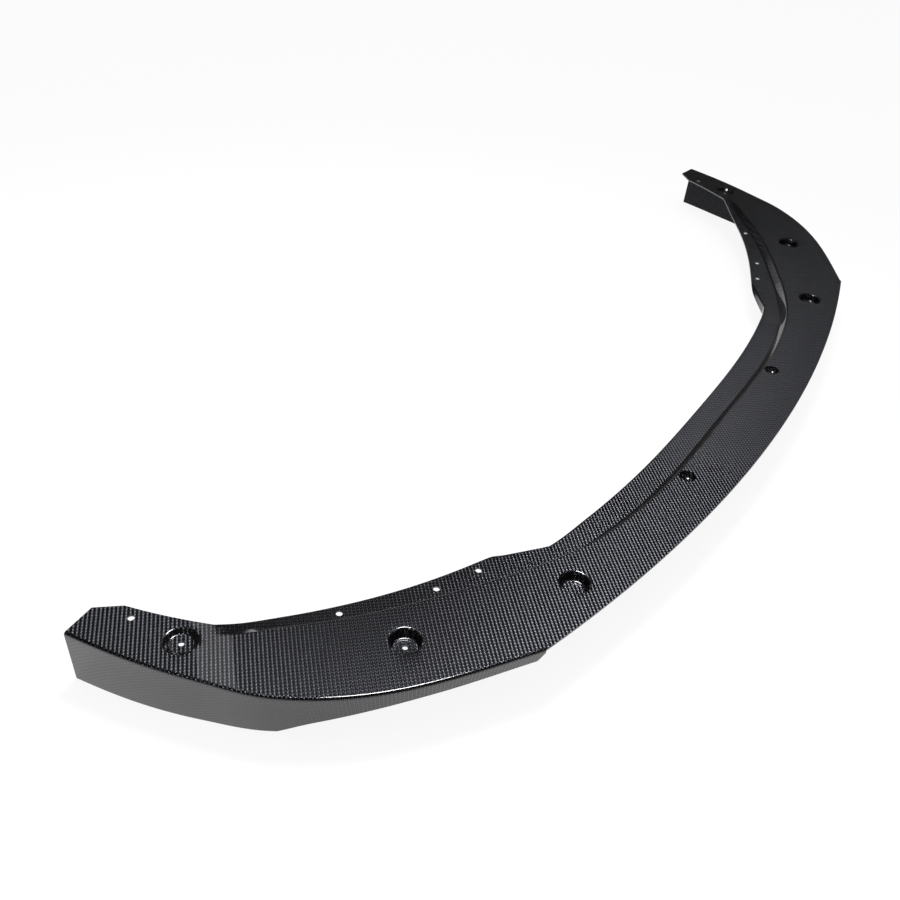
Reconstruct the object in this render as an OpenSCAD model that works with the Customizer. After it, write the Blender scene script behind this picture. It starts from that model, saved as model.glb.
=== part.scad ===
// Front splitter lip: one moulded laminate. Millimetres, +Z up, front edge toward -Y.
// Plan knots are [x, y, heading] or [x, y, heading in, heading out], y behind the
// front edge at the centre line, headings in degrees from the +X direction.

/* [Anchor points] */
// centre line to the tip corner
half_span = 900; // [880:1:930]
// tip corner behind the front centre edge
tip_back = 521; // [508:1:535]
// centre line to the corner in the skirt's lower edge
corner_x = 825; // [818:1:832]
// that corner behind the front centre edge
corner_back = 274; // [268:1:280]
// centre line to the step where the skirt begins
step_x = 584; // [576:1:592]
// the step behind the front centre edge
step_back = 71.5; // [66:0.5:78]

/* [Laminate] */
// thickness of the laminate
ply = 2.5; // [1.8:0.1:3]
// outer radius between plate and skirt
edge_r = 3.5; // [3.2:0.1:5]

/* [Skirt] */
// depth of the skirt's slanted end at the step
skirt_end = 7; // [6:0.5:9]
// run of that slant along the edge
end_run = 9; // [7:0.5:12]
// depth of the skirt below the plate past the slant
skirt_step = 18.5; // [16:0.5:20]
// depth where the skirt starts to deepen
skirt_mid = 21; // [20:0.5:24]
// depth ahead of the lower corner
skirt_dip = 46; // [42:1:50]
// depth at the lower corner
skirt_corner = 66.5; // [62:0.5:70]
// depth between corner and tip
skirt_rear = 79.5; // [75:0.5:81]
// depth at the tip
skirt_tip = 82; // [82:1:95]
// lean of the skirt from upright at the step and the corner
lean_front = 5; // [2:0.5:8]
// lean of the skirt from upright at the tip
lean_tip = 2; // [0.5:0.5:3]

/* [Joggle and flange] */
// crease behind the front edge at the centre line
crease_back = 80; // [75:1:85]
// flange edge behind the front edge at the centre line
flange_back = 127.5; // [122:0.5:133]
// plan width of the joggle
joggle_w = 12; // [11:0.5:13]
// radius of both joggle bends
joggle_r = 3.5; // [3.2:0.1:4.5]
// drop of the flange at the centre line
drop_centre = 9.5; // [8:0.5:11]
// drop of the flange at the kink
drop_kink = 17; // [14:0.5:18]
// drop of the flange half way along the wing
drop_wing = 11; // [9.5:0.5:13]

/* [Inner lip] */
// depth of the down-turned lip below the flange
lip_depth = 16; // [12:1:20]
// bend radius of the lip
lip_r = 3; // [3:0.1:3.5]

/* [Wells] */
// opening diameter at the plate surface
well_d = 43; // [40:1:46]
// diameter of the flat floor
well_floor_d = 27; // [24:1:29]
// radius at the rim and at the floor
well_r = 3.5; // [3.2:0.1:4.5]
// depth of the two inboard wells
well_deep = 12; // [10:0.5:14]
// depth of the well near the tip
well_shallow = 5; // [4:0.5:6]
// hole in the well floor
well_hole_d = 7; // [6:0.5:10]
// centre line to the round dimple
dimple_x = 178; // [172:1:186]
// plan size of the round dimple
dimple_d = 24; // [20:1:28]
// depth of the dimple
dimple_deep = 9; // [7:0.5:10]

/* [Holes] */
// small fixing holes
hole_d = 8.5; // [6:0.5:9]

/* [Hidden] */

tip = [half_span, tip_back];
corner = [corner_x, corner_back];
step = [step_x, step_back];
rear = tip + [-44.5, 5.5];

// handle length of a plan curve as a share of its chord
pull = 0.36;
function knot(p, q, a, b) = [p[0] + q[0], p[1] + q[1], a, b == undef ? a : b];

// front edge: an arc through the centre and both steps, with three places before the step
front_r = (step_x * step_x + step_back * step_back) / (2 * step_back);
front_run = [221, 126, 27];
front_x = [0, for (d = front_run) step_x - d, step_x];
// outer edge from the step to the tip
edge = [knot(step, [0, 0], 31.5), knot(corner, [0, 0], 59),
    knot(tip, [-40.5, -161.5], 70.5), knot(tip, [0, 0], 81)];
// crease at the top of the joggle; it ends on the straight cut from tip to rear corner
cut = (rear - tip) / norm(rear - tip);
crease = [[0, crease_back, 0, 0], knot(step, [-237, 29.5], 12), knot(step, [-162, 53], 23),
    knot(step, [-81.5, 92], 28.5), knot(step, [-62.5, 103], 30),
    knot(corner, [-89.5, 50], 43), knot(tip, [-101, -135], 55),
    knot(rear, -joggle_w * cut, 82)];
// inner edge of the flange, with a corner at each end of the fading lip
inner = [[0, flange_back, 0, 0], knot(step, [-239, 76.5], 9),
    knot(step, [-171.5, 91.5], 17, 36), knot(step, [-100.5, 142.5], 33, 22),
    knot(step, [-80.5, 151], 22.5), knot(corner, [-103.5, 72], 37),
    knot(tip, [-111, -123], 43, 64), knot(tip, [-69.5, -21.5], 72)];
// flange drop over x, as [x, drop, slope in, slope out]
drops = [[0, drop_centre, 0, 0], [inner[1][0], drop_centre + 1.5, 0.02, 0.02],
    [inner[2][0] + 8, drop_kink, 0, 0], [inner[3][0], drop_kink - 0.5, 0, 0],
    [corner_x - 145, drop_wing, -0.04, -0.04], [inner[6][0] - 29, 5.5, -0.13, -0.13],
    [inner[6][0], 0, -0.2, 0]];
// rise of the skirt's slanted end over y
end_rise = end_run / 2;
// skirt depth over y, as [y, depth, slope in, slope out]
depths = [[step_back, skirt_end, 2.5, 2.5], [step_back + end_rise, skirt_step, 2.5, 0],
    [step_back + 71, skirt_mid, 0.06, 0.06], [corner_back - 35, skirt_dip, 0.42, 0.42],
    [corner_back, skirt_corner, 0.62, 0.15], [tip_back - 128, skirt_rear, 0.055, 0.055],
    [tip_back, skirt_tip, 0, 0]];
// stations in each of the seven bays from centre to tip
bays = [6, 4, 6, 2, 11, 8, 6];
step_bay = 4;
// segments in each bend
arc_n = 3;
// least plan reach of a joggle bend, and of the flat strip past a lip bend
reach_min = 1;
strip_min = 0.5;
// segments round a well and round a hole
$fn = 32;
hole_fn = 24;

function leg(a, b, t) =
    let (p = [a[0], a[1]], q = [b[0], b[1]], h = pull * norm(q - p),
        c = p + h * [cos(a[3]), sin(a[3])], d = q - h * [cos(b[2]), sin(b[2])])
    pow(1 - t, 3) * p + 3 * pow(1 - t, 2) * t * c + 3 * (1 - t) * t * t * d + pow(t, 3) * q;
function along(k, q, i = 0) =
    i < len(k) - 2 && q > k[i + 1][0] ? along(k, q, i + 1)
    : let (a = k[i], b = k[i + 1], w = b[0] - a[0], t = min(1, max(0, (q - a[0]) / w)))
        a[1] * (1 + 2 * t) * pow(1 - t, 2) + b[1] * t * t * (3 - 2 * t)
        + w * a[3] * t * pow(1 - t, 2) - w * b[2] * t * t * (1 - t);

// share of the step bay at which the slanted end of the skirt is full depth
end_share = end_run / (3 * pull * norm(corner - step));
// a station is [bay, share of the bay]; the slanted end has one of its own
half = [for (b = [0 : len(bays) - 1]) for (j = [0 : bays[b] - 1])
        for (t = b == step_bay && j == 0 ? [0, end_share] : [j / bays[b]]) [b, t],
    [len(bays) - 1, 1]];
last = len(half) - 1;
function front(x) = [x, front_r - sqrt(front_r * front_r - x * x)];
function outer(h) = h[0] < step_bay
    ? front(front_x[h[0]] * (1 - h[1]) + front_x[h[0] + 1] * h[1])
    : leg(edge[h[0] - step_bay], edge[h[0] - step_bay + 1], h[1]);

// one column of the section: top point and unit normal
function col(p, n, a, z, turn) =
    [[p[0] + n[0] * a, p[1] + n[1] * a, z], [n[0] * sin(turn), n[1] * sin(turn), cos(turn)]];
// bend angle of a joggle of plan width w, drop d and bend radius r
function bend(w, d, r) = atan2(w, 2 * r - d) - acos(2 * r / sqrt(w * w + pow(2 * r - d, 2)));
// upper bend of a joggle as [reach, height, angle]
function bend_pts(w, d, r) = let (f = bend(w, d, r), e = max(r * sin(f), reach_min))
    [for (k = [0 : arc_n]) let (a = e * k / arc_n, g = min(f, asin(a / r)))
        [a, -r * (1 - cos(g)) - (a - r * sin(g)) * tan(f), g]];
function joggle(c, n, d) = let (b = bend_pts(joggle_w, d, joggle_r)) concat(
    [for (k = [0 : arc_n]) col(c, n, b[k][0], b[k][1], b[k][2])],
    [for (k = [arc_n : -1 : 0]) col(c, n, joggle_w - b[k][0], -d - b[k][1], b[k][2])]);
// developed length of the lip bend
lip_arc = lip_r * PI / 2;
// how far the lip has faded at plan position x: 0 full, 1 gone
function fade(x) = min(1, max(0, (x - inner[2][0]) / (inner[3][0] - inner[2][0])));
function lip(e, n, d) =
    let (f = fade(e[0]), fold = 90 * (1 - f * f), flat = fold < 1,
        r = flat ? 0 : lip_arc * 180 / (PI * fold),
        l = strip_min + (lip_depth - lip_r) * (1 - f),
        g = lip_r + (lip_arc + strip_min - lip_r) * f * f,
        reach = flat ? lip_arc : r * sin(fold))
    concat([for (k = [0 : arc_n]) let (a = fold * k / arc_n)
            col(e, n, (flat ? lip_arc * k / arc_n : r * sin(a)) - g, -d - r * (1 - cos(a)), a)],
        [col(e, n, reach + l * cos(fold) - g, -d - r * (1 - cos(fold)) - l * sin(fold), fold)]);
function plate(h) =
    let (o = outer(h), c = leg(crease[h[0]], crease[h[0] + 1], h[1]),
        e = leg(inner[h[0]], inner[h[0] + 1], h[1]), n = (c - o) / norm(c - o),
        d = along(drops, e[0]), foot = c + joggle_w * n, m = (e - foot) / norm(e - foot))
    concat([col(o, n, edge_r, 0, 0)], joggle(c, n, d), lip(e, m, d));
// angle at which the outer bend is one laminate thickness below the plate
ply_turn = acos(1 - ply / edge_r);
function skirt(h) =
    let (o = outer(h), c = leg(crease[h[0]], crease[h[0] + 1], h[1]), n = (o - c) / norm(o - c),
        y = min(1, max(0, (o[1] - corner_back) / (tip_back - corner_back))),
        lean = lean_front * (1 - y) + lean_tip * y, last_turn = 90 + lean,
        run = (along(depths, o[1]) - edge_r * (1 - cos(last_turn))) / cos(lean),
        t = o - edge_r * n, low = edge_r * sin(last_turn) - run * sin(lean))
    concat([[[t[0] + n[0] * low, t[1] + n[1] * low, -along(depths, o[1])],
            [n[0] / cos(lean), n[1] / cos(lean), 0]]],
        [for (a = [last_turn, (last_turn + ply_turn) / 2, ply_turn, ply_turn / 2])
            col(t, n, edge_r * sin(a), -edge_r * (1 - cos(a)), a)]);
function trim(h) =
    let (o = outer(h), c = leg(crease[h[0]], crease[h[0] + 1], h[1]), n = (o - c) / norm(o - c))
    [col(o, n, 0, 0, 0), col(o, n, edge_r * (sin(ply_turn) - 1), 0, 0)];
function side(cols, x, s) =
    [for (c = cols) let (p = c[0] - s * ply * c[1]) [x * p[0], p[1], p[2]]];

// stations from the left tip (0) to the right tip (2 * last)
step_station = bays[0] + bays[1] + bays[2] + bays[3];
left = last - step_station;
right = last + step_station;
function hand(i) = i < last ? -1 : 1;
function at(i) = half[abs(i - last)];
wings = [for (i = [0 : 2 * last]) if (i <= left || i >= right) i];
fronts = [for (i = [left + 1 : right - 1]) i];
plate_n = 2 * arc_n + 4 + arc_n + 1;
skirt_n = 5;
skirt_at = (2 * last + 1) * 2 * plate_n;
front_at = skirt_at + len(wings) * 2 * skirt_n;
ends_at = front_at + len(fronts) * 4;
shell_points = concat(
    [for (i = [0 : 2 * last]) for (s = [0, 1]) each side(plate(at(i)), hand(i), s)],
    [for (i = wings) for (s = [0, 1]) each side(skirt(at(i)), hand(i), s)],
    [for (i = fronts) for (s = [0, 1]) each side(trim(at(i)), hand(i), s)],
    [for (i = [left, right]) let (c = trim(at(i)), a = side(c, hand(i), 0))
        each [a[0], side(c, hand(i), 1)[0], a[1]]]);
// vertex numbers: s is 0 on top and 1 below
function pv(i, k, s) = (i * 2 + s) * plate_n + k;
function sv(i, k, s) =
    skirt_at + ((i <= left ? i : i - right + left + 1) * 2 + s) * skirt_n + k;
function fv(i, k, s) = i > left && i < right ? front_at + ((i - left - 1) * 2 + s) * 2 + k
    : k == 1 && s == 1 ? sv(i, 3, 0) : ends_at + (i == left ? 0 : 3) + (k == 0 ? s : 2);
function plate_row(i, s) = [for (k = [0 : plate_n - 1]) pv(i, k, s)];
function wing_row(i, s) = concat([for (k = [0 : skirt_n - 1]) sv(i, k, s)], plate_row(i, s));
function front_row(i, s) = concat([fv(i, 0, s), fv(i, 1, s)], plate_row(i, s));
function strip(a, b) = [for (k = [0 : len(a) - 2])
    each [[a[k], b[k], b[k + 1]], [a[k], b[k + 1], a[k + 1]]]];
function flip(f, yes) = yes ? [for (v = f) [v[0], v[2], v[1]]] : f;
// top, underside and both rims between two neighbouring rows
function bay_faces(a, b, c, d) = let (z = len(a) - 1) concat(strip(b, a), strip(c, d),
    strip([b[0], d[0]], [a[0], c[0]]), strip([a[z], c[z]], [b[z], d[z]]));
// the two flat faces of the step: above the outer bend, and across the skirt
function step_faces(i) = let (p = fv(i, 1, 0), q = sv(i, 3, 0)) concat(
    [[p, pv(i, 0, 0), sv(i, 4, 0)], [p, sv(i, 4, 0), q], [p, q, fv(i, 0, 1)],
        [p, fv(i, 0, 1), fv(i, 0, 0)]],
    [[q, pv(i, 0, 1), sv(i, 4, 1)], [q, sv(i, 4, 1), sv(i, 3, 1)]],
    strip([for (k = [3 : -1 : 0]) sv(i, k, 0)], [for (k = [3 : -1 : 0]) sv(i, k, 1)]));
shell_faces = concat(
    [for (i = [0 : 2 * last - 1]) each i < left || i >= right
        ? bay_faces(wing_row(i, 0), wing_row(i + 1, 0), wing_row(i, 1), wing_row(i + 1, 1))
        : bay_faces(front_row(i, 0), front_row(i + 1, 0), front_row(i, 1), front_row(i + 1, 1))],
    flip(strip(wing_row(0, 0), wing_row(0, 1)), true),
    strip(wing_row(2 * last, 0), wing_row(2 * last, 1)),
    flip(step_faces(left), false), flip(step_faces(right), true));

module shell() polyhedron(points = shell_points, faces = shell_faces);

// section of a dished well from the rim inward, raised past the plate at the rim
function well_line(d) = let (w = (well_d - well_floor_d) / 2, b = bend_pts(w, d, well_r)) concat(
    [for (k = [0 : arc_n]) [well_d / 2 - b[k][0], b[k][1], b[k][2]]],
    [for (k = [arc_n : -1 : 0]) [well_floor_d / 2 + b[k][0], -d - b[k][1], b[k][2]]]);
module well_void(d) {
    w = well_line(d);
    rise = [2 * w[0][0] - w[1][0], -w[1][1]];
    rotate_extrude() polygon(concat([[0, rise[1]], rise],
        [for (k = [1 : len(w) - 1]) [w[k][0], w[k][1]]], [[0, -d]]));
}
module well_body(d) {
    w = well_line(d);
    a = w[arc_n];
    low = [for (k = [arc_n : len(w) - 1])
        [w[k][0] + ply * sin(w[k][2]), w[k][1] - ply * cos(w[k][2])]];
    top = low[0] + [1 / tan(a[2]), 1] * (-ply / 2 - low[0][1]);
    rotate_extrude() polygon(concat([[0, -ply / 2], top], low, [[0, -d - ply]]));
}
dimple_r = (dimple_d * dimple_d / 4 + dimple_deep * dimple_deep) / (2 * dimple_deep);
module dimple(r, top) {
    z = dimple_r - dimple_deep;
    end = acos((z - top) / r);
    rotate_extrude() polygon(concat([[0, top]],
        [for (k = [8 : -1 : 0]) [r * sin(end * k / 8), z - r * cos(end * k / 8)]]));
}
module both() { for (s = [0, 1]) mirror([s, 0, 0]) children(); }

well_tip = tip + [-71, -111];
well_wing = step + [89.5, 137.5];
well_front = step + [-116.5, 25.5];
dimple_at = [dimple_x, crease_back - 11.5];
holes = [tip + [-61, -41.5], step + [95.5, 230.5], step + [-13, 163.5], step + [-74, 140]];

module splitter_lip() {
    color([0.07, 0.07, 0.08]) translate([0, -rear[1] / 2, skirt_tip]) difference() {
        union() {
            shell();
            both() {
                translate(well_tip) well_body(well_shallow);
                translate(well_wing) well_body(well_deep);
                translate(well_front) well_body(well_deep);
                translate(dimple_at) dimple(dimple_r + ply, -ply / 2);
            }
        }
        both() {
            translate(well_tip) well_void(well_shallow);
            translate(well_wing) well_void(well_deep);
            translate(well_front) well_void(well_deep);
            translate(dimple_at) dimple(dimple_r, 1);
            for (p = [well_tip, well_wing])
                translate([p[0], p[1], -well_deep - 2 * ply])
                    cylinder(h = well_deep + 3 * ply, d = well_hole_d, $fn = hole_fn);
            for (p = holes)
                translate([p[0], p[1], -30]) cylinder(h = 31, d = hole_d, $fn = hole_fn);
        }
    }
}

splitter_lip();
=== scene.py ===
"""Front splitter lip: one moulded laminate of 2x2 carbon twill under a gloss clear coat."""

import logging
import math
from collections.abc import Iterable, Sequence
from dataclasses import dataclass, field
from enum import Enum

import bmesh
import bpy
from mathutils import Matrix, Vector


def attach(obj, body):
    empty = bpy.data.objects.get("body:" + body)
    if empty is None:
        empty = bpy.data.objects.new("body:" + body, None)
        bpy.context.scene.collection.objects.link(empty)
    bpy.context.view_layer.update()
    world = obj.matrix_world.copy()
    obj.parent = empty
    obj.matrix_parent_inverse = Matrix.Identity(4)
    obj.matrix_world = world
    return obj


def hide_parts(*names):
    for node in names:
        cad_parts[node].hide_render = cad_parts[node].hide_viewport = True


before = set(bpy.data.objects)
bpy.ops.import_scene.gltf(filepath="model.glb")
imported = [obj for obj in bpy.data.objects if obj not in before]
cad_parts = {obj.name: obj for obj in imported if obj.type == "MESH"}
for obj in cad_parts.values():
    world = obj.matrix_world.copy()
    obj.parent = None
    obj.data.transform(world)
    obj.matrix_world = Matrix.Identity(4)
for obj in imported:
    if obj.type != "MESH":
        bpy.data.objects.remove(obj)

# A place in plan, and a section turned about an upright axis as radius and height.
Spot = tuple[float, float]
Section = list[tuple[float, float]]

LOG = logging.getLogger("splitter_lip")
MM = 0.001
BODY = "root"
NODE = "splitter_lip"
WEAVE_MAP = "weave"
# The length of a curve's handles as a share of its chord.
HANDLE = 0.36
# Points of the sheet within this many millimetres of each other, or of the centre line, are one.
TOUCH = 0.001


class Finish(Enum):
    """The faces of the laminate, by material slot."""

    COATED = 0
    BACK = 1
    TRIMMED = 2


def linear(hex_colour: str) -> tuple[float, float, float, float]:
    """Turns an sRGB hex colour into linear light.

    Args:
        hex_colour: six hex digits after a hash sign.

    Returns:
        The linear red, green, blue and an alpha of 1.
    """
    shares = [int(hex_colour[i:i + 2], 16) / 255 for i in (1, 3, 5)]
    red, green, blue = (s / 12.92 if s <= 0.04045 else ((s + 0.055) / 1.055) ** 2.4 for s in shares)
    return red, green, blue, 1.0


def add(tree: bpy.types.NodeTree, kind: str, inputs: dict | None = None,
        **settings: object) -> bpy.types.Node:
    """Adds a node with its settings, constants and links.

    Args:
        tree: the node tree that gets it.
        kind: the node's type name.
        inputs: socket name or number to a constant, or to an output socket to link.
        **settings: the node's own properties.

    Returns:
        The new node.
    """
    made = tree.nodes.new(kind)
    for name, value in settings.items():
        setattr(made, name, value)
    for key, value in (inputs or {}).items():
        socket = made.inputs[key]
        if isinstance(value, bpy.types.NodeSocket):
            tree.links.new(value, socket)
        else:
            socket.default_value = value
    return made


def math_node(tree: bpy.types.NodeTree, operation: str, *terms: object) -> bpy.types.NodeSocket:
    """Adds one step of arithmetic to a node tree.

    Args:
        tree: the node tree.
        operation: the Math node's operation.
        *terms: its numbers or sockets, in order.

    Returns:
        The result's socket.
    """
    return add(tree, "ShaderNodeMath", dict(enumerate(terms)), operation=operation).outputs[0]


def new_material(name: str) -> tuple[bpy.types.Material, bpy.types.NodeTree]:
    """Makes an empty node material.

    Args:
        name: the finish's name.

    Returns:
        The material and its node tree.
    """
    material = bpy.data.materials.new(name)
    material.use_nodes = True
    material.node_tree.nodes.clear()
    return material, material.node_tree


@dataclass(frozen=True)
class TwillWeave:
    """A 2x2 twill of flat carbon tows, laid with its tows along X and Y.

    Each tow passes over two and under two of the others, and each next one is a step on,
    which gives the eye diagonal ribs four tows apart.
    """

    tow: float = 1.68 * MM
    over: float = 2.0
    roundness: float = 1.4
    streaks_across: float = 7.0
    streaks_along: float = 0.3

    def nodes(self, tree: bpy.types.NodeTree) -> dict[str, bpy.types.NodeSocket]:
        """Adds the weave's pattern to a material.

        Args:
            tree: the material's node tree.

        Returns:
            Sockets: warp, 1 where the tow along Y lies on top; crown, 0 in the gaps and 1 on
            a tow's back; fibre, the fine streaks along the tows; beat, 0 and 1 by turns from
            one tow to the next.
        """
        place = add(tree, "ShaderNodeUVMap", uv_map=WEAVE_MAP).outputs[0]
        tows = add(tree, "ShaderNodeVectorMath", {0: place, 3: 1 / self.tow}, operation="SCALE").outputs[0]
        parts = add(tree, "ShaderNodeSeparateXYZ", {0: tows}).outputs
        across, up = parts[0], parts[1]
        column, row = math_node(tree, "FLOOR", across), math_node(tree, "FLOOR", up)
        repeat = 2 * self.over
        # The tow along Y lies on top in the first two of every four steps, and the one along X after.
        shift = math_node(tree, "FLOORED_MODULO", math_node(tree, "SUBTRACT", column, row), repeat)
        warp = math_node(tree, "LESS_THAN", shift, self.over - 0.5)
        # Side is the place across the tow on top, and run the place along the stretch that lies on top.
        warp_way = math_node(tree, "SUBTRACT", math_node(tree, "ADD", column, 1.0), up)
        weft_way = math_node(tree, "SUBTRACT", math_node(tree, "SUBTRACT", across, row), self.over)
        way = self.pick(tree, warp, warp_way, weft_way)
        side = self.pick(tree, warp, math_node(tree, "FRACT", across), math_node(tree, "FRACT", up))
        run = math_node(tree, "DIVIDE", math_node(tree, "FLOORED_MODULO", way, repeat), self.over)
        crown = math_node(tree, "MULTIPLY", self.hump(tree, side), self.hump(tree, run))
        # The lit dots along a rib are too fine to show, so every second tow is painted duller and the
        # next brighter: a painted highlight and shade, with the dots twice as far apart.
        beat = math_node(tree, "FLOORED_MODULO", self.pick(tree, warp, column, row), 2.0)
        fibre = self.pick(tree, warp, self.streaks(tree, across, up), self.streaks(tree, up, across))
        return {"warp": warp, "crown": crown, "fibre": fibre, "beat": beat}

    def streaks(self, tree: bpy.types.NodeTree, wide: bpy.types.NodeSocket,
                long: bpy.types.NodeSocket) -> bpy.types.NodeSocket:
        """Adds the fine streaks of the fibres in one set of tows.

        Args:
            tree: the material's node tree.
            wide: the place across the tows, counted in tows.
            long: the place along them, counted in tows.

        Returns:
            The streaks' socket, from 0 to 1.
        """
        spot = add(tree, "ShaderNodeCombineXYZ", {
            0: math_node(tree, "MULTIPLY", wide, self.streaks_across),
            1: math_node(tree, "MULTIPLY", long, self.streaks_along)}).outputs[0]
        return add(tree, "ShaderNodeTexNoise", {
            "Vector": spot, "Scale": 1.0, "Detail": 2.0}, noise_dimensions="2D").outputs[0]

    @staticmethod
    def pick(tree: bpy.types.NodeTree, share: bpy.types.NodeSocket, yes: bpy.types.NodeSocket,
             no: bpy.types.NodeSocket) -> bpy.types.NodeSocket:
        """Returns the socket that gives yes where share is 1, and no where it is 0."""
        return add(tree, "ShaderNodeMix", {0: share, 2: no, 3: yes}, data_type="FLOAT").outputs[0]

    def hump(self, tree: bpy.types.NodeTree, share: bpy.types.NodeSocket) -> bpy.types.NodeSocket:
        """Adds a curve that rises from 0 to 1 and falls back to 0.

        Args:
            tree: the material's node tree.
            share: how far along the curve, from 0 to 1.

        Returns:
            The curve's socket.
        """
        rest = math_node(tree, "SUBTRACT", 1.0, share)
        product = math_node(tree, "MULTIPLY", share, rest)
        return math_node(tree, "POWER", math_node(tree, "MULTIPLY", product, 4.0), self.roundness)


@dataclass(frozen=True)
class CarbonTwill:
    """Carbon twill laminate, vacuum moulded against a polished tool or left as the bag leaves it.

    The fibres shine like dark metal, each tow only across its own run, so warp and weft take
    turns at being the bright one as one walks round, and the resin between the tows stays
    black. In the default colours the weft is also painted a little darker than the warp, a
    painted shade, for both are the same fibre. A gloss clear coat adds sharp reflections that
    don't follow the tows.
    """

    name: str = "carbon twill under gloss clear coat"
    # The weft colour is painted darker than the warp: a painted shade, for both are the same fibre.
    warp_colour: str = "#5f6066"
    weft_colour: str = "#4a4b4f"
    gap_colour: str = "#08080a"
    metallic: float = 1.0
    roughness: float = 0.45
    anisotropy: float = 0.92
    coat: float = 1.0
    coat_roughness: float = 0.02
    coat_ior: float = 1.5
    streak_shades: tuple[float, float] = (0.7, 1.2)
    # Every second tow is painted duller and the next brighter: a painted highlight and shade of the dots
    # along a rib.
    painted_dot_shades: tuple[float, float] = (0.55, 1.35)
    relief_depth: float = 0.05 * MM
    peel_width: float = 14 * MM
    peel_depth: float = 0.02 * MM
    bump_strength: float = 0.5
    weave: TwillWeave = TwillWeave()

    def make(self) -> bpy.types.Material:
        """Builds the finish.

        Returns:
            The Blender material.
        """
        material, tree = new_material(self.name)
        pattern = self.weave.nodes(tree)
        # Warp and weft differ in colour by a painted shade.
        tow = add(tree, "ShaderNodeMix", {
            0: pattern["warp"], 6: linear(self.weft_colour), 7: linear(self.warp_colour)},
            data_type="RGBA").outputs[2]
        # The noise lies mostly between 0.3 and 0.7.
        dark, light = self.streak_shades
        streaky = add(tree, "ShaderNodeMapRange", {
            0: pattern["fibre"], 1: 0.3, 2: 0.7, 3: dark, 4: light}).outputs[0]
        # Painted highlight and shade: every second tow duller, the next brighter.
        dull, bright = self.painted_dot_shades
        painted_dots = add(tree, "ShaderNodeMapRange", {0: pattern["beat"], 3: dull, 4: bright}).outputs[0]
        streaked = add(tree, "ShaderNodeVectorMath", {
            0: tow, 3: math_node(tree, "MULTIPLY", streaky, painted_dots)}, operation="SCALE").outputs[0]
        colour = add(tree, "ShaderNodeMix", {
            0: pattern["crown"], 6: linear(self.gap_colour), 7: streaked}, data_type="RGBA").outputs[2]
        # A tow along X is one along Y turned by a quarter, so its sheen is turned by as much.
        turn = math_node(tree, "MULTIPLY", math_node(tree, "SUBTRACT", 1.0, pattern["warp"]), 0.25)
        relief = add(tree, "ShaderNodeBump", {
            "Height": pattern["crown"], "Distance": self.relief_depth,
            "Strength": self.bump_strength}).outputs[0]
        spot = add(tree, "ShaderNodeTexCoord").outputs["Object"]
        peel = add(tree, "ShaderNodeTexNoise", {
            "Vector": spot, "Scale": 1 / self.peel_width, "Detail": 1.0}).outputs[0]
        skin = add(tree, "ShaderNodeBump", {
            "Height": peel, "Distance": self.peel_depth, "Strength": self.bump_strength}).outputs[0]
        tangent = add(tree, "ShaderNodeTangent", direction_type="UV_MAP", uv_map=WEAVE_MAP).outputs[0]
        shader = add(tree, "ShaderNodeBsdfPrincipled", {
            "Base Color": colour, "Metallic": self.metallic, "Roughness": self.roughness,
            "Anisotropic": self.anisotropy, "Anisotropic Rotation": turn, "Tangent": tangent,
            "Normal": relief, "Coat Weight": self.coat, "Coat Roughness": self.coat_roughness,
            "Coat IOR": self.coat_ior, "Coat Normal": skin})
        add(tree, "ShaderNodeOutputMaterial", {0: shader.outputs[0]})
        return material


@dataclass(frozen=True)
class TrimmedEdge:
    """The edge of the laminate where it was trimmed with a saw and rubbed down.

    Cut fibre ends scatter the light, so the edge is a dull mid grey with thin darker lines of
    resin between the plies.
    """

    name: str = "trimmed and sanded laminate edge"
    fibre_colour: str = "#77787a"
    resin_colour: str = "#3b3b3d"
    ply: float = 0.5 * MM
    waver: float = 0.6
    resin_share: float = 0.35
    grain_width: float = 2 * MM
    grain_depth: float = 0.05 * MM
    grain_strength: float = 0.5
    roughness: float = 0.6

    def make(self) -> bpy.types.Material:
        """Builds the finish.

        Returns:
            The Blender material.
        """
        material, tree = new_material(self.name)
        spot = add(tree, "ShaderNodeTexCoord").outputs["Object"]
        height = add(tree, "ShaderNodeSeparateXYZ", {0: spot}).outputs[2]
        grain = add(tree, "ShaderNodeTexNoise", {
            "Vector": spot, "Scale": 1 / self.grain_width, "Detail": 3.0}).outputs[0]
        plies = math_node(tree, "DIVIDE", height, self.ply)
        wavy = math_node(tree, "ADD", plies, math_node(tree, "MULTIPLY", grain, self.waver))
        layer = math_node(tree, "FRACT", wavy)
        share = add(tree, "ShaderNodeMapRange", {
            0: layer, 1: 0.0, 2: self.resin_share, 3: 0.0, 4: 1.0}).outputs[0]
        colour = add(tree, "ShaderNodeMix", {
            0: share, 6: linear(self.resin_colour), 7: linear(self.fibre_colour)},
            data_type="RGBA").outputs[2]
        bump = add(tree, "ShaderNodeBump", {
            "Height": grain, "Distance": self.grain_depth, "Strength": self.grain_strength}).outputs[0]
        shader = add(tree, "ShaderNodeBsdfPrincipled", {
            "Base Color": colour, "Roughness": self.roughness, "Normal": bump})
        add(tree, "ShaderNodeOutputMaterial", {0: shader.outputs[0]})
        return material


@dataclass(frozen=True)
class Knot:
    """A point that a plan curve passes, in millimetres, with its headings in degrees from +X."""

    x: float
    y: float
    lead: float
    leave: float | None = None

    def at(self, other: "Knot", share: float) -> Vector:
        """Finds a point on the cubic from this knot to another.

        Args:
            other: the knot at the far end.
            share: 0 at this knot and 1 at the other.

        Returns:
            The point in plan.
        """
        start, end = Vector((self.x, self.y)), Vector((other.x, other.y))
        reach = HANDLE * (end - start).length
        out = math.radians(self.lead if self.leave is None else self.leave)
        back = math.radians(other.lead)
        one = start + reach * Vector((math.cos(out), math.sin(out)))
        two = end - reach * Vector((math.cos(back), math.sin(back)))
        rest = 1 - share
        return (rest ** 3 * start + 3 * rest * rest * share * one
                + 3 * rest * share * share * two + share ** 3 * end)


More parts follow.
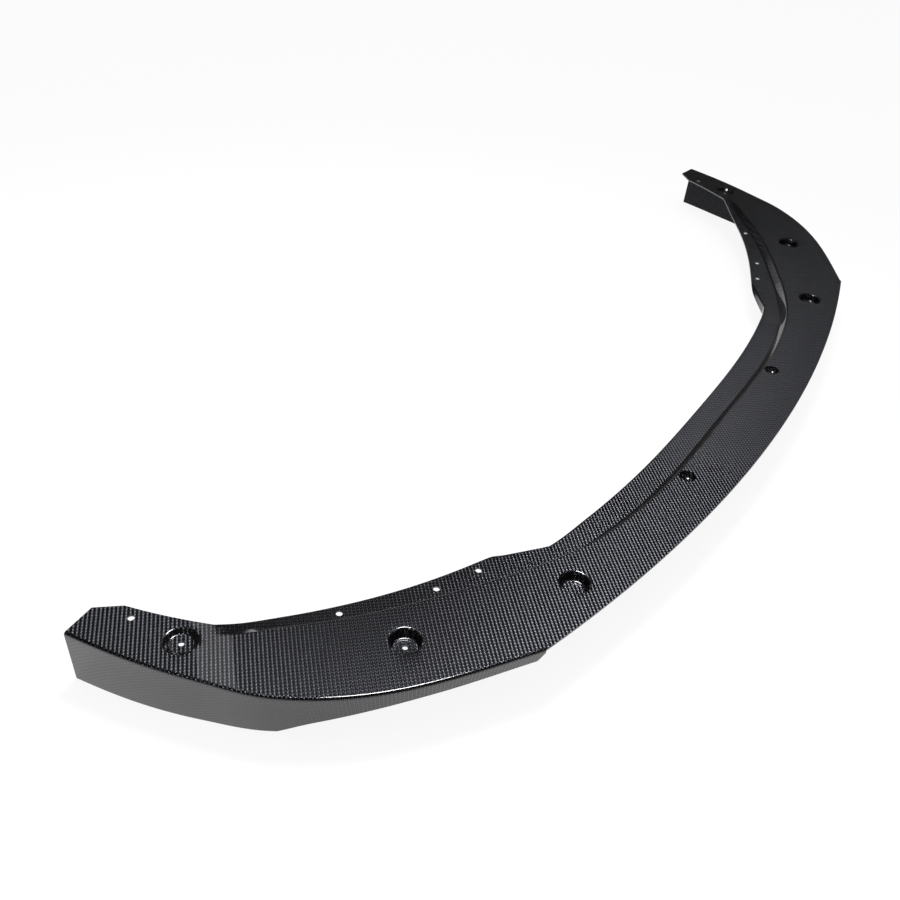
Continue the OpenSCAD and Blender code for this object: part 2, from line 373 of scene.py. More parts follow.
@dataclass(frozen=True)
class Level:
    """A place and value that a profile passes, with its slope before and after."""

    place: float
    value: float
    before: float
    after: float

    @staticmethod
    def along(levels: Sequence["Level"], place: float) -> float:
        """Reads a smooth profile.

        Args:
            levels: the profile's levels in order.
            place: where to read it.

        Returns:
            The profile's value there.
        """
        at = next((k for k in range(1, len(levels) - 1) if place <= levels[k].place), len(levels) - 1)
        a, b = levels[at - 1], levels[at]
        width = b.place - a.place
        t = min(1.0, max(0.0, (place - a.place) / width))
        return (a.value * (1 + 2 * t) * (1 - t) ** 2 + b.value * t * t * (3 - 2 * t)
                + width * a.after * t * (1 - t) ** 2 - width * b.before * t * t * (1 - t))


def joggle_line(width: float, drop: float, radius: float, steps: int,
                least: float = 1.0) -> list[tuple[float, float, float]]:
    """Works out the section of a step between two levels, with a bend at top and bottom.

    Args:
        width: the step's width in plan.
        drop: its height.
        radius: the radius of both bends.
        steps: segments in each bend.
        least: the least reach of a bend's points, where the step runs out.

    Returns:
        Points of the section as reach, height and slope angle.
    """
    span = 2 * radius - drop
    turn = math.atan2(width, span) - math.acos(2 * radius / math.hypot(width, span))
    reach = max(radius * math.sin(turn), least)
    upper = []
    for k in range(steps + 1):
        a = reach * k / steps
        slope = min(turn, math.asin(min(1.0, a / radius)))
        fall = radius * (1 - math.cos(slope)) + (a - radius * math.sin(slope)) * math.tan(turn)
        upper.append((a, -fall, slope))
    return upper + [(width - a, -drop - z, slope) for a, z, slope in reversed(upper)]


@dataclass
class Column:
    """One point of a section: its place, the way out of the laminate, and its place on the cloth."""

    place: Vector
    out: Vector
    cloth: Vector

    @classmethod
    def on(cls, base: Vector, way: Vector, reach: float, height: float, slope: float,
           cloth_reach: float | None = None) -> "Column":
        """Places a point of a section.

        Args:
            base: where the section starts, in plan.
            way: the section's direction in plan.
            reach: how far along it.
            height: how high above the plate.
            slope: how steeply the surface falls there, in radians.
            cloth_reach: how far along the cloth, if that isn't the reach.

        Returns:
            The column.
        """
        flat = base + way * reach
        cloth = base + way * (reach if cloth_reach is None else cloth_reach)
        out = Vector((way.x * math.sin(slope), way.y * math.sin(slope), math.cos(slope)))
        return cls(Vector((flat.x, flat.y, height)), out, cloth)


@dataclass
class LipPlan:
    """The sizes of the splitter lip in millimetres, y behind the front centre edge, z above the plate.

    Three anchor points drive the plan: the step in the front edge, the skirt's outer corner and
    the wing's tip. Bays lie between the knots of the curves, and are cut into sections.
    """

    step: Vector = field(default_factory=lambda: Vector((584, 71.5)))
    corner: Vector = field(default_factory=lambda: Vector((825, 274)))
    tip: Vector = field(default_factory=lambda: Vector((900, 521)))
    thickness: float = 2.5
    edge_radius: float = 3.5
    joggle_width: float = 12.0
    joggle_radius: float = 3.5
    lip_depth: float = 16.0
    lip_radius: float = 3.0
    lip_strip: float = 0.5
    flat_strip: float = 0.8
    lean_front: float = 5.0
    lean_tip: float = 2.0
    bays: tuple[int, ...] = (26, 14, 26, 6, 44, 30, 24)
    step_bay: int = 4
    end_run: float = 9.0
    bend_steps: int = 6

    def __post_init__(self) -> None:
        """Works out the plan curves and profiles from the anchor points."""
        step, corner, tip = self.step, self.corner, self.tip
        self.rear = tip + Vector((-44.5, 5.5))
        # The outer edge is one arc up to the step, and a curve through knots behind it.
        self.front_radius = (step.x ** 2 + step.y ** 2) / (2 * step.y)
        self.front_stops = (0.0, step.x - 221, step.x - 126, step.x - 27, step.x)
        self.edge = (self.knot(step, 0, 0, 31.5), self.knot(corner, 0, 0, 59),
                     self.knot(tip, -40.5, -161.5, 70.5), self.knot(tip, 0, 0, 81))
        cut = (self.rear - tip).normalized() * self.joggle_width
        self.crease = (Knot(0, 80, 0), self.knot(step, -237, 29.5, 12), self.knot(step, -162, 53, 23),
                       self.knot(step, -81.5, 92, 28.5), self.knot(step, -62.5, 103, 30),
                       self.knot(corner, -89.5, 50, 43), self.knot(tip, -101, -135, 55),
                       self.knot(self.rear, -cut.x, -cut.y, 82))
        self.inner = (Knot(0, 127.5, 0), self.knot(step, -239, 76.5, 9),
                      self.knot(step, -171.5, 91.5, 17, 36), self.knot(step, -100.5, 142.5, 33, 22),
                      self.knot(step, -80.5, 151, 22.5),
                      self.knot(corner, -103.5, 72, 37), self.knot(tip, -111, -123, 43, 64),
                      self.knot(tip, -69.5, -21.5, 72))
        # How far the flange lies below the plate, read at the inner edge's x.
        bend = self.inner
        self.drops = (Level(0, 9.5, 0, 0), Level(bend[1].x, 11, 0.02, 0.02),
                      Level(bend[2].x + 8, 17, 0, 0), Level(bend[3].x, 16.5, 0, 0),
                      Level(corner.x - 145, 11, -0.04, -0.04),
                      Level(bend[6].x - 29, 5.5, -0.13, -0.13), Level(bend[6].x, 0, -0.2, 0))
        # How deep the skirt is, read at the outer edge's y.
        self.depths = (Level(step.y, 7, 2.5, 2.5), Level(step.y + self.end_run / 2, 18.5, 2.5, 0),
                       Level(step.y + 71, 21, 0.06, 0.06), Level(corner.y - 35, 46, 0.42, 0.42),
                       Level(corner.y, 66.5, 0.62, 0.15), Level(tip.y - 128, 79.5, 0.055, 0.055),
                       Level(tip.y, 82, 0, 0))

    @staticmethod
    def knot(anchor: Vector, x: float, y: float, lead: float, leave: float | None = None) -> Knot:
        """Returns a knot at an offset from an anchor point."""
        return Knot(anchor.x + x, anchor.y + y, lead, leave)

    def stations(self) -> list[tuple[int, float]]:
        """Lists the sections from the centre line to the tip.

        Returns:
            Each section as its bay's number and its share of the bay.
        """
        places = [(bay, k / count) for bay, count in enumerate(self.bays) for k in range(count)]
        places.append((len(self.bays) - 1, 1.0))
        # Two more sections draw the slanted front end of the skirt.
        slant = self.end_run / (3 * HANDLE * (self.corner - self.step).length)
        places += [(self.step_bay, slant * share) for share in (0.5, 1.0)]
        return sorted(places)

    def lines(self, bay: int, share: float) -> tuple[Vector, Vector, Vector]:
        """Finds where a section crosses the outer edge, the crease and the inner edge.

        Args:
            bay: the bay's number from the centre line.
            share: how far along the bay.

        Returns:
            The three points in plan.
        """
        if bay < self.step_bay:
            x = self.front_stops[bay] * (1 - share) + self.front_stops[bay + 1] * share
            outer = Vector((x, self.front_radius - math.sqrt(self.front_radius ** 2 - x * x)))
        else:
            outer = self.edge[bay - self.step_bay].at(self.edge[bay - self.step_bay + 1], share)
        return (outer, self.crease[bay].at(self.crease[bay + 1], share),
                self.inner[bay].at(self.inner[bay + 1], share))

    def plate(self, bay: int, share: float) -> list[Column]:
        """Lays out a section from the outer bend over the joggle to the edge of the inner lip.

        Args:
            bay: the bay's number from the centre line.
            share: how far along the bay.

        Returns:
            The section's columns.
        """
        outer, crease, inner = self.lines(bay, share)
        way = (crease - outer).normalized()
        drop = Level.along(self.drops, inner.x)
        width = (crease - outer).length
        start = self.edge_radius
        flats = [start, start + self.flat_strip]
        flats += [start + (width - start) * f for f in (0.2, 0.4, 0.6, 0.8)]
        flats.append(width - self.flat_strip)
        columns = [Column.on(outer, way, a, 0, 0) for a in flats]
        columns += [Column.on(crease, way, a, z, s) for a, z, s in joggle_line(
            self.joggle_width, drop, self.joggle_radius, self.bend_steps)]
        return columns + self.flange(crease + self.joggle_width * way, inner, drop)

    def flange(self, foot: Vector, inner: Vector, drop: float) -> list[Column]:
        """Lays out a section of the flange and of the lip that is turned down at its edge.

        The lip unrolls between two knots of the inner edge until it is flat. The cloth keeps
        its length round the bend.

        Args:
            foot: where the flange starts, at the foot of the joggle, in plan.
            inner: where the inner edge is, in plan.
            drop: how far the flange lies below the plate.

        Returns:
            The section's columns.
        """
        turn = (inner - foot).normalized()
        bent, unrolled = self.inner[2].x, self.inner[3].x
        fade = min(1.0, max(0.0, (inner.x - bent) / (unrolled - bent)))
        fold = math.pi / 2 * (1 - fade * fade)
        arc = self.lip_radius * math.pi / 2
        flat = fold < math.radians(1)
        radius = 0.0 if flat else arc / fold
        leg = self.lip_strip + (self.lip_depth - self.lip_radius) * (1 - fade)
        gap = self.lip_radius + (arc + self.lip_strip - self.lip_radius) * fade ** 2
        land = (inner - foot).length - gap
        margin = min(self.flat_strip, land / 4)
        columns = [Column.on(foot, turn, a, -drop, 0) for a in (margin, land / 2, land - margin)]
        for k in range(self.bend_steps + 1):
            a = fold * k / self.bend_steps
            reach = arc * k / self.bend_steps if flat else radius * math.sin(a)
            columns.append(Column.on(inner, turn, reach - gap, -drop - radius * (1 - math.cos(a)), a,
                                     arc * k / self.bend_steps - gap))
        low = -drop - radius * (1 - math.cos(fold))
        past = (arc if flat else radius * math.sin(fold)) - gap
        for down in (leg * 0.1, leg):
            columns.append(Column.on(inner, turn, past + down * math.cos(fold),
                                     low - down * math.sin(fold), fold, arc + down - gap))
        return columns

    def skirt(self, bay: int, share: float) -> list[Column]:
        """Lays out a section from just past the plate round the outer bend and down the skirt.

        Args:
            bay: the bay's number from the centre line.
            share: how far along the bay.

        Returns:
            The section's columns, downward.
        """
        outer, crease, _ = self.lines(bay, share)
        way = (outer - crease).normalized()
        base = outer - self.edge_radius * way
        along = min(1.0, max(0.0, (outer.y - self.corner.y) / (self.tip.y - self.corner.y)))
        lean = math.radians(self.lean_front * (1 - along) + self.lean_tip * along)
        last = math.pi / 2 + lean
        radius = self.edge_radius
        columns = []
        steps = 2 * self.bend_steps
        for k in range(1, steps + 1):
            a = last * k / steps
            columns.append(Column.on(base, way, radius * math.sin(a), -radius * (1 - math.cos(a)),
                                     a, radius * a))
        depth = Level.along(self.depths, outer.y)
        past, low = radius * math.sin(last), -radius * (1 - math.cos(last))
        run = (depth + low) / math.cos(lean)
        for down in (0.06, 0.4, 0.7, 1.0):
            columns.append(Column.on(base, way, past - down * run * math.sin(lean),
                                     low - down * run * math.cos(lean), last, radius * last + down * run))
        # The lower edge is sawn level, so the back lies straight inward of it.
        columns[-1].out = Vector((way.x / math.cos(lean), way.y / math.cos(lean), 0))
        return columns

    def trim(self, bay: int, share: float) -> list[Column]:
        """Lays out the narrow strip between the plate and its sawn front edge.

        Args:
            bay: the bay's number from the centre line.
            share: how far along the bay.

        Returns:
            The strip's columns, outward.
        """
        outer, crease, _ = self.lines(bay, share)
        way = (outer - crease).normalized()
        return [Column.on(outer, way, -self.edge_radius * f, 0, 0) for f in (0.5, 0.0)]


@dataclass
class Dish:
    """A round pressing in the plate, turned from its section about an upright axis.

    The section runs from the rim inward, as radius, height and slope angle.
    """

    place: Spot
    line: list[tuple[float, float, float]]
    bolt_hole: float = 0.0

    @classmethod
    def well(cls, place: Spot, depth: float, bolt_hole: float = 0.0, width: float = 43.0,
             floor: float = 27.0, radius: float = 3.5, steps: int = 6) -> "Dish":
        """Makes a flat-bottomed well.

        Args:
            place: where the well is, in plan.
            depth: how deep it is.
            bolt_hole: the diameter of the hole in the floor, or 0.
            width: the diameter at the plate.
            floor: the diameter of the floor.
            radius: the radius of the bends at the rim and the floor.
            steps: segments in each bend.

        Returns:
            The dish.
        """
        wall = joggle_line((width - floor) / 2, depth, radius, steps)
        return cls(place, [(width / 2 - a, z, slope) for a, z, slope in wall], bolt_hole)

    @classmethod
    def dimple(cls, place: Spot, width: float, depth: float, steps: int = 12) -> "Dish":
        """Makes a part of a ball, pressed in.

        Args:
            place: where the dimple is, in plan.
            width: the diameter at the plate.
            depth: how deep it is.
            steps: segments from the rim to the lowest point.

        Returns:
            The dish.
        """
        radius = (width * width / 4 + depth * depth) / (2 * depth)
        rim = math.asin(width / 2 / radius)
        turns = [rim * (1 - k / steps) for k in range(steps)]
        return cls(place, [(radius * math.sin(a), radius - depth - radius * math.cos(a), a) for a in turns])

    def hollow(self) -> Section:
        """Works out the section of the space in the dish, raised past the plate at its rim.

        Returns:
            The section from the axis at the top, outward and down to the axis.
        """
        (r0, z0, _), (r1, z1, _) = self.line[0], self.line[1]
        rise = (2 * r0 - r1, 2 * z0 - z1)
        reach, low, slope = self.line[-1]
        floor = low - reach * math.tan(slope / 2)
        return [(0.0, rise[1]), rise] + [(r, z) for r, z, _ in self.line[1:]] + [(0.0, floor)]

    def cup(self, thickness: float) -> Section:
        """Works out the section of the solid that carries the dish, up to the middle of the plate.

        Args:
            thickness: the laminate's thickness.

        Returns:
            The section from the axis at the top, outward and down to the axis.
        """
        steep = max(range(len(self.line)), key=lambda k: self.line[k][2])
        under = [(r + thickness * math.sin(s), z - thickness * math.cos(s)) for r, z, s in self.line[steep:]]
        middle = -thickness / 2
        reach, height = under[0]
        top = (reach + (middle - height) / math.tan(self.line[steep][2]), middle)
        reach, height = under[-1]
        floor = height - reach * math.tan(self.line[-1][2] / 2)
        return [(0.0, middle), top, *under, (0.0, floor)]


class Sheet:
    """The moulded face, drawn section by section in millimetres and then given its thickness.

    Until it is finished, each vertex keeps its way out of the laminate and its place on the
    cloth.
    """

    def __init__(self, first: Column) -> None:
        """Starts the sheet with one vertex.

        Args:
            first: the first section's column at the root of its two branches.
        """
        self.mesh = bmesh.new()
        layers = self.mesh.verts.layers.float_vector
        self.cloth = layers.new("cloth")
        self.outward = layers.new("outward")
        self.root = bmesh.ops.create_vert(self.mesh, co=first.place)["vert"][0]
        self.settle([self.root], [first])

    def settle(self, verts: Iterable[bmesh.types.BMVert], columns: Iterable[Column]) -> None:
        """Moves vertices to a section's columns.

        Args:
            verts: the vertices in order.
            columns: a column for each.
        """
        for vert, column in zip(verts, columns, strict=True):
            vert.co = column.place
            vert[self.cloth] = Vector((column.cloth.x, column.cloth.y, 0))
            vert[self.outward] = column.out

    def branch(self, root: bmesh.types.BMVert, columns: Iterable[Column]) -> list[bmesh.types.BMVert]:
        """Grows a line of vertices from one vertex.

        Args:
            root: the vertex that it starts from.
            columns: where the line goes.

        Returns:
            The new vertices in order.
        """
        line = [root]
        for column in columns:
            grown = bmesh.ops.extrude_vert_indiv(self.mesh, verts=[line[-1]])["verts"][0]
            self.settle([grown], [column])
            line.append(grown)
        return line[1:]

    def draw_on(self, row: list[bmesh.types.BMVert]) -> list[bmesh.types.BMVert]:
        """Extrudes a row of vertices.

        Args:
            row: the vertices in order.

        Returns:
            The new row in the same order.
        """
        edges = [self.mesh.edges.get(pair) for pair in zip(row, row[1:])]
        made = {e for e in bmesh.ops.extrude_edge_only(self.mesh, edges=edges)["geom"]
                if isinstance(e, bmesh.types.BMVert)}
        return [next(e.other_vert(v) for e in v.link_edges if e.other_vert(v) in made) for v in row]

    def mirror(self) -> None:
        """Adds the other half across the centre line."""
        mesh = self.mesh
        bmesh.ops.mirror(mesh, geom=mesh.verts[:] + mesh.edges[:] + mesh.faces[:], axis="X",
                         merge_dist=TOUCH)
        for vert in mesh.verts:
            if vert.co.x < -TOUCH:
                vert[self.cloth].x *= -1
                vert[self.outward].x *= -1

    def thicken(self, thickness: float) -> None:
        """Adds the back and the trimmed edge, and gives each face its finish.

        Args:
            thickness: the laminate's thickness.
        """
        mesh = self.mesh
        bmesh.ops.recalc_face_normals(mesh, faces=mesh.faces[:])
        faces = mesh.faces[:]
        back = bmesh.ops.extrude_face_region(mesh, geom=faces)["geom"]
        back_faces = {f for f in back if isinstance(f, bmesh.types.BMFace)}
        for vert in (v for v in back if isinstance(v, bmesh.types.BMVert)):
            vert.co -= thickness * vert[self.outward]
        coated = set(faces)
        for face in mesh.faces:
            if face in back_faces:
                face.material_index = Finish.BACK.value
            elif face in coated:
                face.material_index = Finish.COATED.value
            else:
                face.material_index = Finish.TRIMMED.value
        bmesh.ops.recalc_face_normals(mesh, faces=mesh.faces[:])

    def finished(self, place: Matrix) -> bmesh.types.BMesh:
        """Lays the weave on by the cloth, and puts the sheet in its place.

        Args:
            place: the way from millimetres in plan to the part's own frame in metres.

        Returns:
            The sheet's bmesh, without its helper values.
        """
        mesh = self.mesh
        weave = mesh.loops.layers.uv.new(WEAVE_MAP)
        for face in mesh.faces:
            for loop in face.loops:
                loop[weave].uv = loop.vert[self.cloth].xy * MM
        layers = mesh.verts.layers.float_vector
        for name in ("cloth", "outward"):
            layers.remove(layers[name])
        bmesh.ops.transform(mesh, matrix=place, verts=mesh.verts[:])
        return mesh


@dataclass
class SplitterLip:
    """The whole moulding: plate, skirt, joggled flange, fading inner lip, wells and holes."""

    plan: LipPlan = field(default_factory=LipPlan)
    hole_width: float = 8.5
    bolt_hole_width: float = 7.0
    shallow_well: float = 5.0
    deep_well: float = 12.0
    dimple_place: Spot = (178.0, 68.5)
    dimple_width: float = 24.0
    dimple_depth: float = 9.0
    bore_top: float = 1.0
    bore_bottom: float = -30.0
    turns: int = 72
    # Points closer than this are joined: in millimetres on the axis of a turned solid, and in
    # metres on the finished piece.
    axis_weld: float = 0.0005
    seam_weld: float = 0.02 * MM
    least_edge: float = 0.01 * MM
    sharp_angle: float = 35.0

    def __post_init__(self) -> None:
        """Places the pressings and holes by the plan's anchor points."""
        step, tip = self.plan.step, self.plan.tip
        middle = Matrix.Translation((0, -self.plan.rear.y / 2, self.plan.depths[-1].value))
        self.place = Matrix.Scale(MM, 4) @ middle
        tip_well = (tip.x - 71, tip.y - 111)
        wing_well = (step.x + 89.5, step.y + 137.5)
        front_well = (step.x - 116.5, step.y + 25.5)
        self.dishes = (Dish.well(tip_well, self.shallow_well, self.bolt_hole_width),
                       Dish.well(wing_well, self.deep_well, self.bolt_hole_width),
                       Dish.well(front_well, self.deep_well),
                       Dish.dimple(self.dimple_place, self.dimple_width, self.dimple_depth))
        self.holes = ((tip.x - 61, tip.y - 41.5), (step.x + 95.5, step.y + 230.5),
                      (step.x - 13, step.y + 163.5), (step.x - 74, step.y + 140))

    def build(self, materials: Sequence[bpy.types.Material]) -> bpy.types.Object:
        """Builds the laminate and cuts its pressings and holes.

        Args:
            materials: the finishes in the order of Finish.

        Returns:
            The finished piece.
        """
        lip = self.to_object("splitter_lip_moulding", self.laminate(), materials)
        cups = [(dish.place, dish.cup(self.plan.thickness)) for dish in self.dishes]
        hollows = [(dish.place, dish.hollow()) for dish in self.dishes]
        bores = [(spot, self.bore(self.hole_width)) for spot in self.holes]
        bores += [(dish.place, self.bore(dish.bolt_hole)) for dish in self.dishes if dish.bolt_hole]
        for name, solids, finish, operation in (
                ("dish_cups", cups, Finish.BACK, "UNION"),
                ("dish_hollows", hollows, Finish.COATED, "DIFFERENCE"),
                ("bores", bores, Finish.TRIMMED, "DIFFERENCE")):
            self.combine(lip, self.to_object(name, self.turned(solids, finish), materials), operation)
        self.smooth(lip)
        return lip

    def bore(self, width: float) -> Section:
        """Works out the section of a drill that goes through the plate and every well.

        Args:
            width: the hole's diameter.

        Returns:
            The section from the axis at the top, outward and down to the axis.
        """
        radius = width / 2
        return [(0.0, self.bore_top), (radius, self.bore_top),
                (radius, self.bore_bottom), (0.0, self.bore_bottom)]

    def laminate(self) -> bmesh.types.BMesh:
        """Draws the moulded face section by section, mirrors it and gives it its thickness.

        Returns:
            The closed laminate, in metres in the part's own frame.
        """
        plan = self.plan
        stations = plan.stations()
        first = plan.plate(*stations[0])
        sheet = Sheet(first[0])
        row = [sheet.root] + sheet.branch(sheet.root, first[1:])
        side = sheet.branch(sheet.root, plan.trim(*stations[0]))
        # The trimmed front edge ends at the step, where the skirt starts from the same plate.
        split = sum(plan.bays[:plan.step_bay])
        for number, station in enumerate(stations[1:], start=1):
            new = sheet.draw_on(side[::-1] + row)
            side, row = new[:len(side)][::-1], new[len(side):]
            sheet.settle(row, plan.plate(*station))
            sheet.settle(side, plan.trim(*station) if number <= split else plan.skirt(*station))
            if number == split:
                side = sheet.branch(row[0], plan.skirt(*station))
        sheet.mirror()
        sheet.thicken(plan.thickness)
        return sheet.finished(self.place)

    def turned(self, solids: Sequence[tuple[Spot, Section]], finish: Finish) -> bmesh.types.BMesh:
        """Spins sections about upright axes, on both sides of the centre line.

        Args:
            solids: where each axis is in plan, and its section from axis to axis.
            finish: what the faces are dressed in.

        Returns:
            The closed solids, in metres in the part's own frame.
        """
        mesh = bmesh.new()
        for (x, y), section in solids:
            for hand in (-1, 1):
                axis = Vector((hand * x, y, 0))
                places = [axis + Vector((r, 0, z)) for r, z in section]
                start = [bmesh.ops.create_vert(mesh, co=place)["vert"][0] for place in places]
                edges = [mesh.edges.new(pair) for pair in zip(start, start[1:])]
                bmesh.ops.spin(mesh, geom=start + edges, cent=axis, axis=(0, 0, 1), angle=2 * math.pi,
                               steps=self.turns, use_merge=True)
        bmesh.ops.remove_doubles(mesh, verts=mesh.verts[:], dist=self.axis_weld)
        bmesh.ops.recalc_face_normals(mesh, faces=mesh.faces[:])
        weave = mesh.loops.layers.uv.new(WEAVE_MAP)
        for face in mesh.faces:
            face.material_index = finish.value
            for loop in face.loops:
                loop[weave].uv = loop.vert.co.xy * MM
        bmesh.ops.transform(mesh, matrix=self.place, verts=mesh.verts[:])
        return mesh

    @staticmethod
    def to_object(name: str, mesh: bmesh.types.BMesh,
                  materials: Sequence[bpy.types.Material]) -> bpy.types.Object:
        """Turns a bmesh into a linked object with its material slots.

        Args:
            name: the object's name.
            mesh: the bmesh, which is freed.
            materials: the finishes in slot order.

        Returns:
            The object.
        """
        data = bpy.data.meshes.new(name)
        mesh.to_mesh(data)
        mesh.free()
        for material in materials:
            data.materials.append(material)
        made = bpy.data.objects.new(name, data)
        bpy.context.scene.collection.objects.link(made)
        return made

    @staticmethod
    def combine(whole: bpy.types.Object, other: bpy.types.Object, operation: str) -> None:
        """Joins or cuts one solid with another, and deletes the other.

        Args:
            whole: the solid that is changed.
            other: the solid that is added or taken away.
            operation: UNION or DIFFERENCE.
        """
        modifier = whole.modifiers.new(other.name, "BOOLEAN")
        modifier.operation = operation
        modifier.object = other
        modifier.solver = "EXACT"
        modifier.material_mode = "INDEX"
        view = bpy.context.evaluated_depsgraph_get()
        old = whole.data
        result = bpy.data.meshes.new_from_object(whole.evaluated_get(view), depsgraph=view)
        whole.modifiers.remove(modifier)
        whole.data = result
        result.name = old.name
        bpy.data.meshes.remove(old)
        bpy.data.meshes.remove(other.data)

    def smooth(self, piece: bpy.types.Object) -> None:
        """Shades a piece smooth, and keeps its sawn and drilled edges sharp.

        Args:
            piece: the piece that is changed.
        """
        mesh = bmesh.new()
        mesh.from_mesh(piece.data)
        bmesh.ops.remove_doubles(mesh, verts=mesh.verts[:], dist=self.seam_weld)
        bmesh.ops.dissolve_degenerate(mesh, edges=mesh.edges[:], dist=self.least_edge)
        for face in mesh.faces:
            face.smooth = True
        sharp = math.radians(self.sharp_angle)
        for edge in mesh.edges:
            edge.smooth = edge.is_manifold and edge.calc_face_angle(0.0) < sharp
        mesh.to_mesh(piece.data)
        mesh.free()


@dataclass(frozen=True)
class Softbox:
    """A rectangular lamp, hung at a place and aimed at a point, in metres and watts."""

    name: str
    place: tuple[float, float, float]
    aim: tuple[float, float, float]
    size: tuple[float, float]
    power: float
    spread: float = 180.0
    mirrored: bool = True

    def hang(self) -> None:
        """Hangs the lamp."""
        data = bpy.data.lights.new(self.name, "AREA")
        data.shape = "RECTANGLE"
        data.size, data.size_y = self.size
        data.energy = self.power
        data.spread = math.radians(self.spread)
        made = bpy.data.objects.new(self.name, data)
        turn = (Vector(self.aim) - Vector(self.place)).to_track_quat("-Z", "Y")
        made.matrix_world = Matrix.Translation(self.place) @ turn.to_matrix().to_4x4()
        made.visible_glossy = made.visible_transmission = self.mirrored
        bpy.context.scene.collection.objects.link(made)


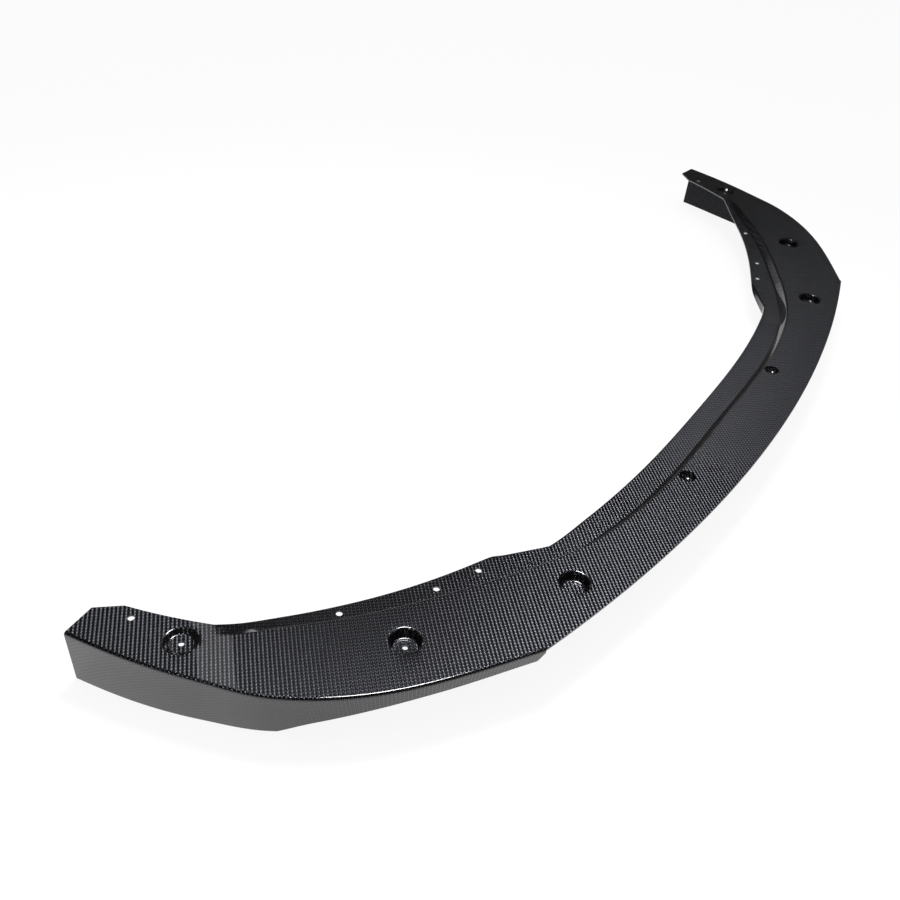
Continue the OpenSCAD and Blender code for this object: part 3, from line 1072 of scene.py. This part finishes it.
@dataclass(frozen=True)
class Studio:
    """A pale floor and backdrop, soft lamps, and a camera where the photograph was taken from."""

    camera_place: tuple[float, float, float] = (-1.3204, -0.4722, 0.9719)
    camera_right: tuple[float, float, float] = (0.5573, -0.8270, 0.0744)
    camera_down: tuple[float, float, float] = (-0.4812, -0.3948, -0.7827)
    lens: float = 40.0
    frame_width: float = 36.0
    view_range: tuple[float, float] = (0.01, 60.0)
    floor_half: float = 9.0
    floor_colour: str = "#f6f6f6"
    backdrop_share: float = 0.9
    lit_near: float = 1.2
    lit_far: float = 2.2
    lit_rest: float = 0.1
    fill: float = 0.55
    rim: float = 0.35
    rim_high: float = 0.10
    ceiling: float = 0.05
    # The diffuser lights the floor and every dull surface, and isn't mirrored in the gloss.
    lamps: tuple[Softbox, ...] = (
        Softbox("gridded overhead lamp", (0.12, 0.3, 2.42), (-0.6, 0.0, 0.05), (0.65, 0.5), 15, spread=80),
        Softbox("standing strip", (-0.12, 0.91, 1.37), (-0.83, 0.09, 0.08), (0.10, 0.9), 0.22),
        Softbox("broad diffuser", (0.0, 0.0, 3.0), (0.0, 0.0, 0.0), (3.0, 3.0), 36, mirrored=False))

    def build(self) -> None:
        """Builds the floor, world, lamps and camera."""
        self.floor()
        self.world()
        for lamp in self.lamps:
            lamp.hang()
        self.camera()

    def floor(self) -> None:
        """Makes the pale floor, which shows white but keeps the lip's shadow."""
        mesh = bmesh.new()
        bmesh.ops.create_grid(mesh, x_segments=1, y_segments=1, size=self.floor_half)
        data = bpy.data.meshes.new("studio_floor")
        mesh.to_mesh(data)
        mesh.free()
        floor = bpy.data.objects.new("studio_floor", data)
        bpy.context.scene.collection.objects.link(floor)
        material, tree = new_material("white paper sweep")
        # Mirrored in the gloss, the sweep glows near the lip and is plain paper further off.
        spot = add(tree, "ShaderNodeTexCoord").outputs["Object"]
        away = add(tree, "ShaderNodeVectorMath", {0: spot}, operation="LENGTH").outputs["Value"]
        lit = add(tree, "ShaderNodeMapRange", {
            0: away, 1: self.lit_near, 2: self.lit_far, 3: 1.0, 4: self.lit_rest}).outputs[0]
        path = add(tree, "ShaderNodeLightPath").outputs
        mirrored = math_node(tree, "MAXIMUM", path["Is Glossy Ray"], path["Is Transmission Ray"])
        seen = math_node(tree, "MAXIMUM", path["Is Camera Ray"], math_node(tree, "MULTIPLY", mirrored, lit))
        paper = add(tree, "ShaderNodeBsdfDiffuse", {0: linear(self.floor_colour)}).outputs[0]
        glow = add(tree, "ShaderNodeEmission", {0: (1, 1, 1, 1), 1: 1.0}).outputs[0]
        share = math_node(tree, "MULTIPLY", seen, self.backdrop_share)
        both = add(tree, "ShaderNodeMixShader", {0: share, 1: paper, 2: glow}).outputs[0]
        add(tree, "ShaderNodeOutputMaterial", {0: both})
        data.materials.append(material)

    def world(self) -> None:
        """Makes a grey rim and a dark ceiling for the gloss, an even fill, and white for the camera."""
        world = bpy.data.worlds.new("studio")
        bpy.context.scene.world = world
        world.use_nodes = True
        tree = world.node_tree
        tree.nodes.clear()
        way = add(tree, "ShaderNodeTexCoord").outputs["Generated"]
        height = add(tree, "ShaderNodeSeparateXYZ", {0: way}).outputs[2]
        surround = add(tree, "ShaderNodeMapRange", {
            0: height, 1: 0.0, 2: self.rim_high, 3: self.rim, 4: self.ceiling},
            interpolation_type="SMOOTHSTEP").outputs[0]
        path = add(tree, "ShaderNodeLightPath").outputs
        mirrored = math_node(tree, "MAXIMUM", path["Is Glossy Ray"], path["Is Transmission Ray"])
        dull = add(tree, "ShaderNodeMix", {
            0: mirrored, 2: self.fill, 3: surround}, data_type="FLOAT").outputs[0]
        strength = add(tree, "ShaderNodeMix", {
            0: path["Is Camera Ray"], 2: dull, 3: 1.0}, data_type="FLOAT").outputs[0]
        back = add(tree, "ShaderNodeBackground", {0: (1, 1, 1, 1), 1: strength}).outputs[0]
        add(tree, "ShaderNodeOutputWorld", {0: back})

    def camera(self) -> None:
        """Sets up the photograph's camera: place, aim and lens."""
        data = bpy.data.cameras.new("photo_camera")
        data.lens = self.lens
        data.sensor_width = self.frame_width
        data.clip_start, data.clip_end = self.view_range
        made = bpy.data.objects.new("photo_camera", data)
        right = Vector(self.camera_right).normalized()
        up = -Vector(self.camera_down)
        up = (up - up.dot(right) * right).normalized()
        turn = Matrix((right, up, right.cross(up))).transposed().to_4x4()
        made.matrix_world = Matrix.Translation(self.camera_place) @ turn
        bpy.context.scene.collection.objects.link(made)
        bpy.context.scene.camera = made


def main() -> None:
    """Builds the lip and its studio."""
    logging.basicConfig(level=logging.INFO, format="%(name)s: %(message)s")
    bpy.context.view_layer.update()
    scene = bpy.context.scene
    scene.view_settings.view_transform = "Standard"
    satin_back = CarbonTwill(name="satin back of the laminate", warp_colour="#5e5f62",
                             weft_colour="#5e5f62", roughness=0.6, anisotropy=0.6, coat=0.0)
    finishes = (CarbonTwill(), satin_back, TrimmedEdge())
    lip = SplitterLip().build([finish.make() for finish in finishes])
    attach(lip, BODY)
    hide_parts(NODE)
    LOG.info("%s: %d faces", lip.name, len(lip.data.polygons))
    Studio().build()


if __name__ == "__main__":
    main()
